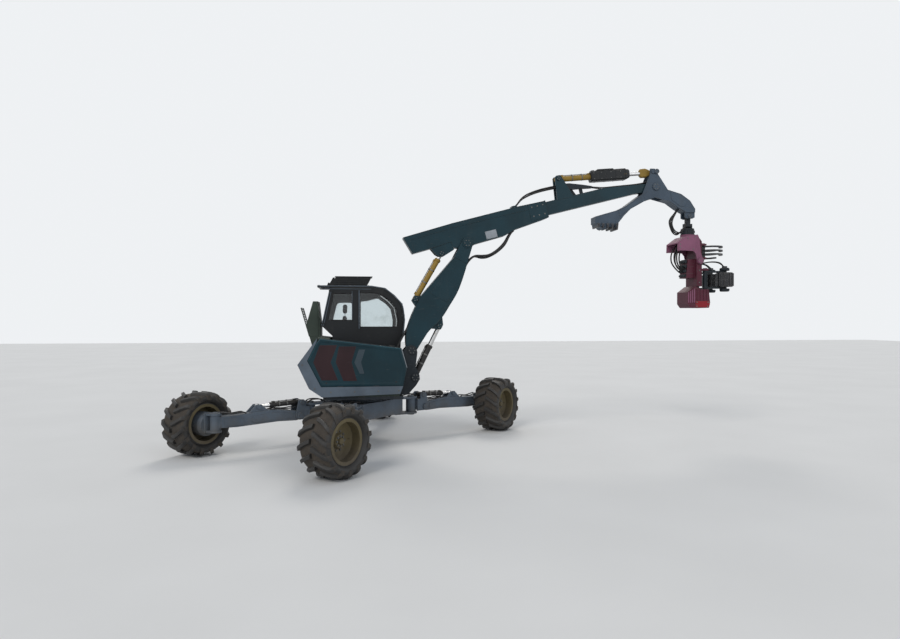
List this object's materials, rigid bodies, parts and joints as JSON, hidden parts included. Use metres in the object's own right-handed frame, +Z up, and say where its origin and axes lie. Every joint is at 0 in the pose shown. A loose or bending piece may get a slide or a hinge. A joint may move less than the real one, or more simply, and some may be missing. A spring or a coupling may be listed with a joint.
{
  "type": "walking forestry excavator with harvester head",
  "caption": "Walking excavator for forestry: four wheeled legs that swing and lift, slewing cab, folding boom with telescopic stick, and a hanging harvester head.",
  "frame": {"origin": "on the ground, under the middle of the machine's box as it stands", "axes": "+X the way the boom points, +Y the machine's left side, +Z up"},
  "size_m": [11.4065, 7.5724, 5.6773],
  "materials": {
    "green": "satin",
    "grey_strip": "satin",
    "frame_dark": "satin",
    "leg_steel": "worn",
    "olive": "satin",
    "engine": "rough",
    "cab_black": "satin",
    "glass": "clear",
    "seat_cloth": "woven",
    "yellow": "worn",
    "cylinder_dark": "oily",
    "chrome": "polished",
    "rim_mud": "muddy",
    "tyre": "muddy",
    "head_red": "worn",
    "head_pink": "faded",
    "knife_steel": "worn"
  },
  "bodies": {
    "chassis": {"chassis": "leg_steel"},
    "bracket_rl": {"swing_bracket_rl": "leg_steel"},
    "leg_rl": {"leg_rl": "leg_steel"},
    "lift_barrel_rl": {"lift_barrel_rl": "cylinder_dark"},
    "lift_rod_rl": {"lift_rod_rl": "chrome"},
    "knuckle_rl": {"knuckle_rl": "leg_steel"},
    "wheel_rl": {"rim_rl": "rim_mud", "tyre_rl": "tyre"},
    "bracket_rr": {"swing_bracket_rr": "leg_steel"},
    "leg_rr": {"leg_rr": "leg_steel"},
    "lift_barrel_rr": {"lift_barrel_rr": "cylinder_dark"},
    "lift_rod_rr": {"lift_rod_rr": "chrome"},
    "knuckle_rr": {"knuckle_rr": "leg_steel"},
    "wheel_rr": {"rim_rr": "rim_mud", "tyre_rr": "tyre"},
    "bracket_fl": {"swing_bracket_fl": "leg_steel"},
    "leg_fl": {"leg_fl": "leg_steel"},
    "lift_barrel_fl": {"lift_barrel_fl": "cylinder_dark"},
    "lift_rod_fl": {"lift_rod_fl": "chrome"},
    "knuckle_fl": {"knuckle_fl": "leg_steel"},
    "wheel_fl": {"rim_fl": "rim_mud", "tyre_fl": "tyre"},
    "bracket_fr": {"swing_bracket_fr": "leg_steel"},
    "leg_fr": {"leg_fr": "leg_steel"},
    "lift_barrel_fr": {"lift_barrel_fr": "cylinder_dark"},
    "lift_rod_fr": {"lift_rod_fr": "chrome"},
    "knuckle_fr": {"knuckle_fr": "leg_steel"},
    "wheel_fr": {"rim_fr": "rim_mud", "tyre_fr": "tyre"},
    "upper": {"upper_frame": "frame_dark", "housing": "olive", "engine_block": "engine", "side_covers": "green", "tail_bumper": "grey_strip", "cab_shell": "cab_black", "cab_glass": "glass", "cab_guard": "cab_black", "seat": "seat_cloth"},
    "door": {"cab_door": "cab_black", "door_glass": "glass"},
    "boom": {"boom": "green"},
    "boom_lift_barrel": {"boom_lift_barrel": "cylinder_dark"},
    "boom_lift_rod": {"boom_lift_rod": "chrome"},
    "stick_barrel": {"stick_barrel": "yellow"},
    "stick_rod": {"stick_rod": "chrome"},
    "stick": {"stick": "green"},
    "telescope": {"telescope": "green"},
    "tool_barrel": {"tool_barrel": "yellow"},
    "tool_rod": {"tool_rod": "chrome"},
    "tool_bracket": {"tool_bracket": "leg_steel"},
    "hanger_link": {"hanger_link": "frame_dark"},
    "rotator": {"rotator": "frame_dark"},
    "tilt_bracket": {"tilt_bracket": "head_pink"},
    "head": {"head_frame": "head_red"},
    "knife_left": {"knife_left": "knife_steel"},
    "knife_right": {"knife_right": "knife_steel"},
    "roller_arm_left": {"roller_arm_left": "frame_dark"},
    "roller_arm_right": {"roller_arm_right": "frame_dark"},
    "roller_left": {"roller_left": "knife_steel"},
    "roller_right": {"roller_right": "knife_steel"}
  },
  "joints": [
    {"name": "leg_swing_rl", "type": "hinge", "parent": "chassis", "child": "bracket_rl", "pos_m": [-3.10897, -0.37421, 0.7], "axis": [0, 0, -1], "range_deg": [-12, 15]},
    {"name": "leg_lift_rl", "type": "hinge", "parent": "bracket_rl", "child": "leg_rl", "pos_m": [-3.3428, -0.50921, 0.64], "axis": [-0.5, 0.866, 0], "range_deg": [-20, 25]},
    {"name": "lift_cylinder_rl", "type": "hinge", "parent": "bracket_rl", "child": "lift_barrel_rl", "pos_m": [-3.30816, -0.48921, 0.89], "axis": [-0.5, 0.866, 0], "range_deg": [-21.16, 26.2]},
    {"name": "lift_stroke_rl", "type": "slide", "parent": "lift_barrel_rl", "child": "lift_rod_rl", "axis": [-0.8655, -0.4997, -0.0353], "range_m": [-0.11456, 0.09265]},
    {"name": "steer_rl", "type": "hinge", "parent": "leg_rl", "child": "knuckle_rl", "pos_m": [-4.71978, -1.30421, 0.63], "axis": [0, 0, -1], "range_deg": [-20, 20]},
    {"name": "wheel_spin_rl", "type": "hinge", "parent": "knuckle_rl", "child": "wheel_rl", "pos_m": [-5.1028, -0.98281, 0.59], "axis": [-0.766, 0.6428, 0], "continuous": true},
    {"name": "leg_swing_rr", "type": "hinge", "parent": "chassis", "child": "bracket_rr", "pos_m": [-2.26632, -1.08127, 0.7], "axis": [0, 0, 1], "range_deg": [-12, 15]},
    {"name": "leg_lift_rr", "type": "hinge", "parent": "bracket_rr", "child": "leg_rr", "pos_m": [-2.35867, -1.33499, 0.64], "axis": [-0.9397, 0.342, 0], "range_deg": [-20, 25]},
    {"name": "lift_cylinder_rr", "type": "hinge", "parent": "bracket_rr", "child": "lift_barrel_rr", "pos_m": [-2.34499, -1.2974, 0.89], "axis": [-0.9397, 0.342, 0], "range_deg": [-21.16, 26.2]},
    {"name": "lift_stroke_rr", "type": "slide", "parent": "lift_barrel_rr", "child": "lift_rod_rr", "axis": [-0.3418, -0.9391, -0.0353], "range_m": [-0.11456, 0.09265]},
    {"name": "steer_rr", "type": "hinge", "parent": "leg_rr", "child": "knuckle_rr", "pos_m": [-2.90248, -2.8291, 0.63], "axis": [0, 0, 1], "range_deg": [-20, 20]},
    {"name": "wheel_spin_rr", "type": "hinge", "parent": "knuckle_rr", "child": "wheel_rr", "pos_m": [-2.51946, -3.1505, 0.59], "axis": [-0.766, 0.6428, 0], "continuous": true},
    {"name": "leg_swing_fl", "type": "hinge", "parent": "chassis", "child": "bracket_fl", "pos_m": [-1.88768, 1.08127, 0.7], "axis": [0, 0, 1], "range_deg": [-12, 15]},
    {"name": "leg_lift_fl", "type": "hinge", "parent": "bracket_fl", "child": "leg_fl", "pos_m": [-1.79533, 1.33499, 0.64], "axis": [0.9397, -0.342, 0], "range_deg": [-20, 25]},
    {"name": "lift_cylinder_fl", "type": "hinge", "parent": "bracket_fl", "child": "lift_barrel_fl", "pos_m": [-1.80901, 1.2974, 0.89], "axis": [0.9397, -0.342, 0], "range_deg": [-21.16, 26.2]},
    {"name": "lift_stroke_fl", "type": "slide", "parent": "lift_barrel_fl", "child": "lift_rod_fl", "axis": [0.3418, 0.9391, -0.0353], "range_m": [-0.11456, 0.09265]},
    {"name": "steer_fl", "type": "hinge", "parent": "leg_fl", "child": "knuckle_fl", "pos_m": [-1.25152, 2.8291, 0.63], "axis": [0, 0, 1], "range_deg": [-20, 20]},
    {"name": "wheel_spin_fl", "type": "hinge", "parent": "knuckle_fl", "child": "wheel_fl", "pos_m": [-1.63454, 3.1505, 0.59], "axis": [-0.766, 0.6428, 0], "continuous": true},
    {"name": "leg_swing_fr", "type": "hinge", "parent": "chassis", "child": "bracket_fr", "pos_m": [-1.04503, 0.37421, 0.7], "axis": [0, 0, -1], "range_deg": [-12, 15]},
    {"name": "leg_lift_fr", "type": "hinge", "parent": "bracket_fr", "child": "leg_fr", "pos_m": [-0.8112, 0.50921, 0.64], "axis": [0.5, -0.866, 0], "range_deg": [-20, 25]},
    {"name": "lift_cylinder_fr", "type": "hinge", "parent": "bracket_fr", "child": "lift_barrel_fr", "pos_m": [-0.84584, 0.48921, 0.89], "axis": [0.5, -0.866, 0], "range_deg": [-21.16, 26.2]},
    {"name": "lift_stroke_fr", "type": "slide", "parent": "lift_barrel_fr", "child": "lift_rod_fr", "axis": [0.8655, 0.4997, -0.0353], "range_m": [-0.11456, 0.09265]},
    {"name": "steer_fr", "type": "hinge", "parent": "leg_fr", "child": "knuckle_fr", "pos_m": [0.56578, 1.30421, 0.63], "axis": [0, 0, -1], "range_deg": [-20, 20]},
    {"name": "wheel_spin_fr", "type": "hinge", "parent": "knuckle_fr", "child": "wheel_fr", "pos_m": [0.9488, 0.98281, 0.59], "axis": [-0.766, 0.6428, 0], "continuous": true},
    {"name": "slew", "type": "hinge", "parent": "chassis", "child": "upper", "pos_m": [-2.077, 0, 0.96], "axis": [0, 0, 1], "continuous": true},
    {"name": "cab_door", "type": "hinge", "parent": "upper", "child": "door", "pos_m": [-2.209, 0.952, 2.15], "axis": [0, 0, 1], "range_deg": [0, 85]},
    {"name": "boom_lift", "type": "hinge", "parent": "upper", "child": "boom", "pos_m": [-1.1, -0.42, 1.884], "axis": [0, -1, 0], "range_deg": [-45, 10]},
    {"name": "stick_fold", "type": "hinge", "parent": "boom", "child": "stick", "pos_m": [0.0239, -0.42, 4.04298], "axis": [0, 1, 0], "range_deg": [-4, 80]},
    {"name": "telescope", "type": "slide", "parent": "stick", "child": "telescope", "axis": [0.9681, 0, 0.2504], "range_m": [-0.25, 1.5]},
    {"name": "tool_tilt", "type": "hinge", "parent": "telescope", "child": "tool_bracket", "pos_m": [4.05403, -0.42, 5.29802], "axis": [0, -1, 0], "range_deg": [-6, 50]},
    {"name": "boom_lift_cylinder", "type": "hinge", "parent": "upper", "child": "boom_lift_barrel", "pos_m": [-1.035, -0.42, 1.347], "axis": [0, -1, 0], "range_deg": [-29.59, 7.35]},
    {"name": "boom_lift_stroke", "type": "slide", "parent": "boom_lift_barrel", "child": "boom_lift_rod", "axis": [0.4409, 0, 0.8976], "range_m": [-0.31268, 0.07337]},
    {"name": "stick_fold_cylinder", "type": "hinge", "parent": "boom", "child": "stick_barrel", "pos_m": [-1.01976, -0.42, 2.90874], "axis": [0, -1, 0], "range_deg": [-1.24, 5.85]},
    {"name": "stick_fold_stroke", "type": "slide", "parent": "stick_barrel", "child": "stick_rod", "axis": [0.4958, 0, 0.8684], "range_m": [-0.04047, 0.71444]},
    {"name": "tool_tilt_cylinder", "type": "hinge", "parent": "telescope", "child": "tool_barrel", "pos_m": [1.941, -0.42, 5.41675], "axis": [0, -1, 0], "range_deg": [-5.48, 1.54]},
    {"name": "tool_tilt_stroke", "type": "slide", "parent": "tool_barrel", "child": "tool_rod", "axis": [0.9954, 0, 0.0961], "range_m": [-0.2324, 0.03229]},
    {"name": "hanger_swing", "type": "hinge", "parent": "tool_bracket", "child": "hanger_link", "pos_m": [4.82803, -0.42, 4.70003], "axis": [0, -1, 0], "range_deg": [-40, 40]},
    {"name": "hanger_sway", "type": "hinge", "parent": "hanger_link", "child": "rotator", "pos_m": [4.82803, -0.42, 4.50002], "axis": [1, 0, 0], "range_deg": [-25, 25]},
    {"name": "rotator_turn", "type": "hinge", "parent": "rotator", "child": "tilt_bracket", "pos_m": [4.82803, -0.42, 4.31003], "axis": [0, 0, 1], "continuous": true},
    {"name": "head_tilt", "type": "hinge", "parent": "tilt_bracket", "child": "head", "pos_m": [4.98303, -0.42, 3.74003], "axis": [0, 1, 0], "range_deg": [0, 90]},
    {"name": "knife_left", "type": "hinge", "parent": "head", "child": "knife_left", "pos_m": [5.08803, -0.252, 3.94002], "axis": [0, 0, 1], "range_deg": [-20, 35]},
    {"name": "roller_arm_left", "type": "hinge", "parent": "head", "child": "roller_arm_left", "pos_m": [5.13803, -0.25, 3.34002], "axis": [0, 0, 1], "range_deg": [-10, 25]},
    {"name": "feed_roller_left", "type": "hinge", "parent": "roller_arm_left", "child": "roller_left", "pos_m": [5.51803, -0.145, 3.34002], "axis": [0, 0, 1], "continuous": true},
    {"name": "knife_right", "type": "hinge", "parent": "head", "child": "knife_right", "pos_m": [5.08803, -0.588, 3.94002], "axis": [0, 0, -1], "range_deg": [-20, 35]},
    {"name": "roller_arm_right", "type": "hinge", "parent": "head", "child": "roller_arm_right", "pos_m": [5.13803, -0.59, 3.34002], "axis": [0, 0, -1], "range_deg": [-10, 25]},
    {"name": "feed_roller_right", "type": "hinge", "parent": "roller_arm_right", "child": "roller_right", "pos_m": [5.51803, -0.695, 3.34002], "axis": [0, 0, 1], "continuous": true}
  ],
  "couplings": [
    {"joint": "lift_cylinder_rl", "follows": "leg_lift_rl", "ratio": 1.0082},
    {"joint": "lift_stroke_rl", "follows": "leg_lift_rl", "m_per_rad": -0.25109},
    {"joint": "lift_cylinder_rr", "follows": "leg_lift_rr", "ratio": 1.0082},
    {"joint": "lift_stroke_rr", "follows": "leg_lift_rr", "m_per_rad": -0.25109},
    {"joint": "lift_cylinder_fl", "follows": "leg_lift_fl", "ratio": 1.0082},
    {"joint": "lift_stroke_fl", "follows": "leg_lift_fl", "m_per_rad": -0.25109},
    {"joint": "lift_cylinder_fr", "follows": "leg_lift_fr", "ratio": 1.0082},
    {"joint": "lift_stroke_fr", "follows": "leg_lift_fr", "m_per_rad": -0.25109},
    {"joint": "boom_lift_cylinder", "follows": "boom_lift", "ratio": 0.63541},
    {"joint": "boom_lift_stroke", "follows": "boom_lift", "m_per_rad": 0.39175},
    {"joint": "stick_fold_cylinder", "follows": "stick_fold", "ratio": 0.060677},
    {"joint": "stick_fold_stroke", "follows": "stick_fold", "m_per_rad": 0.5081},
    {"joint": "tool_tilt_cylinder", "follows": "tool_tilt", "ratio": -0.089615},
    {"joint": "tool_tilt_stroke", "follows": "tool_tilt", "m_per_rad": -0.26059},
    {"joint": "knife_right", "follows": "knife_left", "ratio": 1},
    {"joint": "roller_arm_right", "follows": "roller_arm_left", "ratio": 1}
  ]
}
